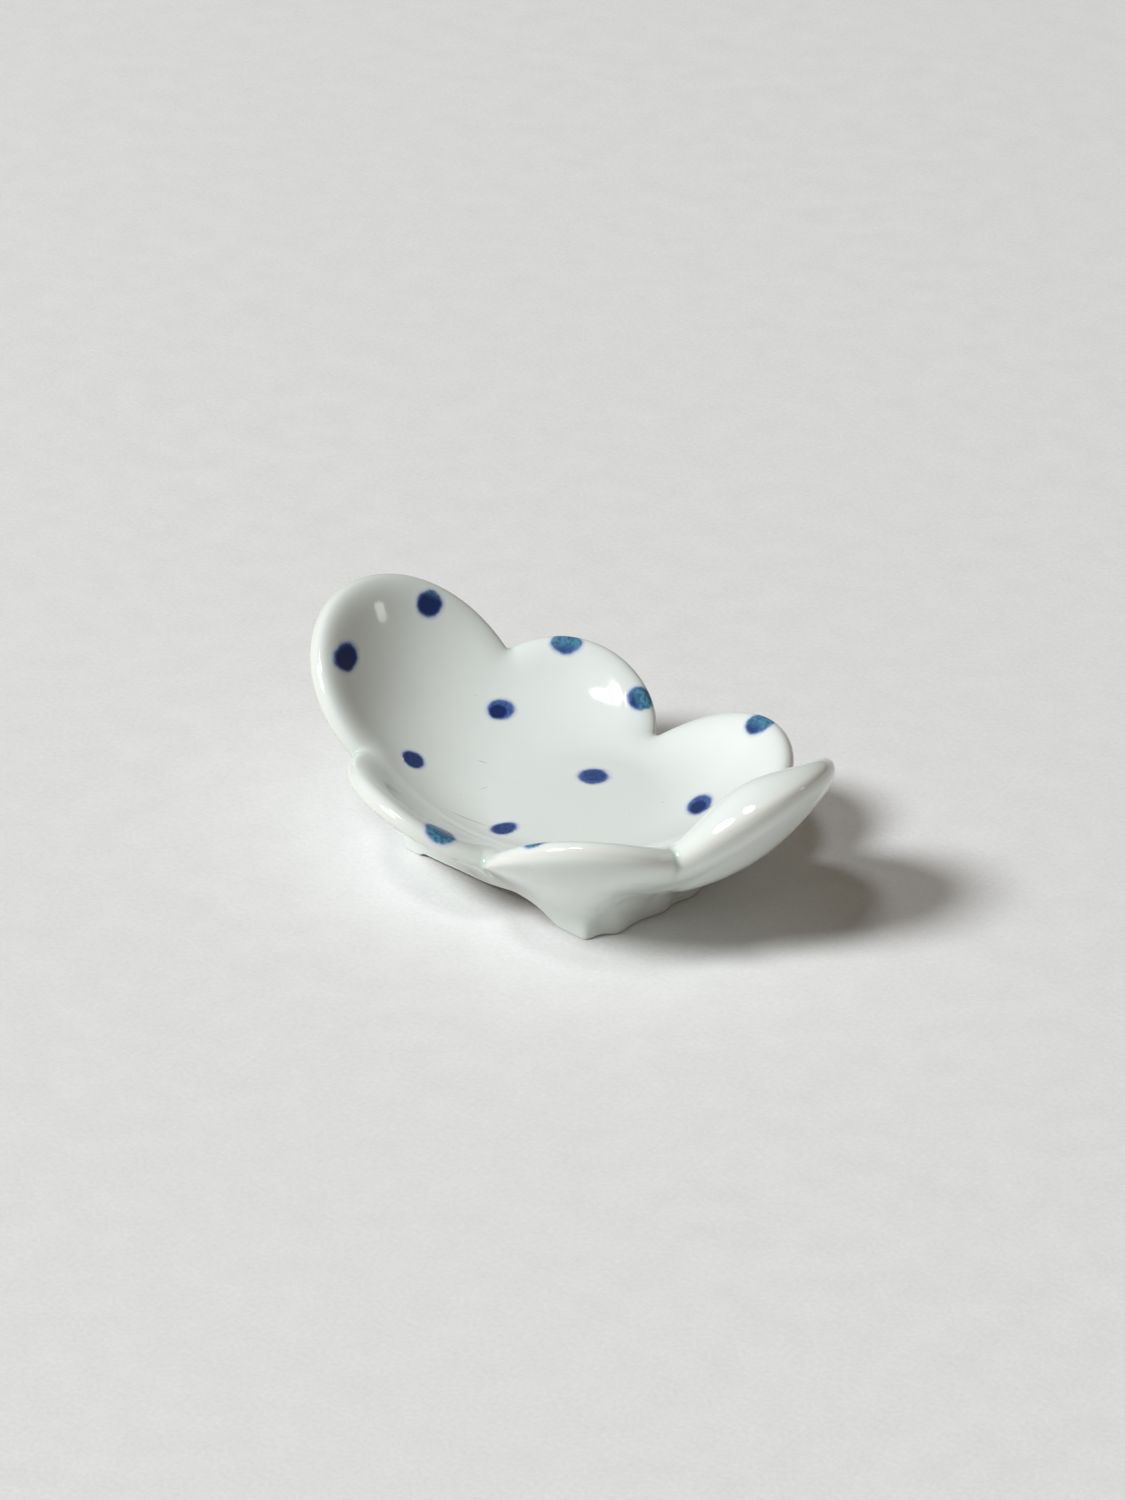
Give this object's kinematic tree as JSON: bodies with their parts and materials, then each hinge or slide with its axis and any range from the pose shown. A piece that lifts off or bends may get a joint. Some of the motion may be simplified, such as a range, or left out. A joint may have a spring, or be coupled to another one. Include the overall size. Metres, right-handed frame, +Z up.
{
  "type": "chopstick rest",
  "caption": "Small glazed porcelain chopstick rest: a petalled flower dish with raised end petals and cobalt dots on a low arched foot; chopstick tips lie across its waist.",
  "frame": {"origin": "middle of the standing face, under the middle of the floor of the dish", "axes": "+X along the rest to one end petal, +Y across the rest through the waist, +Z up"},
  "size_m": [0.0561, 0.0379, 0.0196],
  "materials": {
    "glazed_porcelain": "clear glossy glaze, pale green where it pools",
    "foot_porcelain": "clear glossy glaze, wiped off the standing rim",
    "cobalt_dot": "brushed cobalt under the glaze"
  },
  "bodies": {
    "root": {"dish": "glazed_porcelain", "foot_ring": "foot_porcelain", "dot_left_end_back": "cobalt_dot", "dot_left_end_front": "cobalt_dot", "dot_left_floor_back": "cobalt_dot", "dot_left_floor_front": "cobalt_dot", "dot_middle_back": "cobalt_dot", "dot_middle_front": "cobalt_dot", "dot_right_floor_back": "cobalt_dot", "dot_right_floor_front": "cobalt_dot", "dot_right_end_back": "cobalt_dot", "dot_right_end_front": "cobalt_dot", "dot_rim_back_left": "cobalt_dot", "dot_rim_back_middle": "cobalt_dot", "dot_rim_back_right": "cobalt_dot", "dot_rim_front_left": "cobalt_dot", "dot_rim_front_right": "cobalt_dot"}
  },
  "joints": []
}
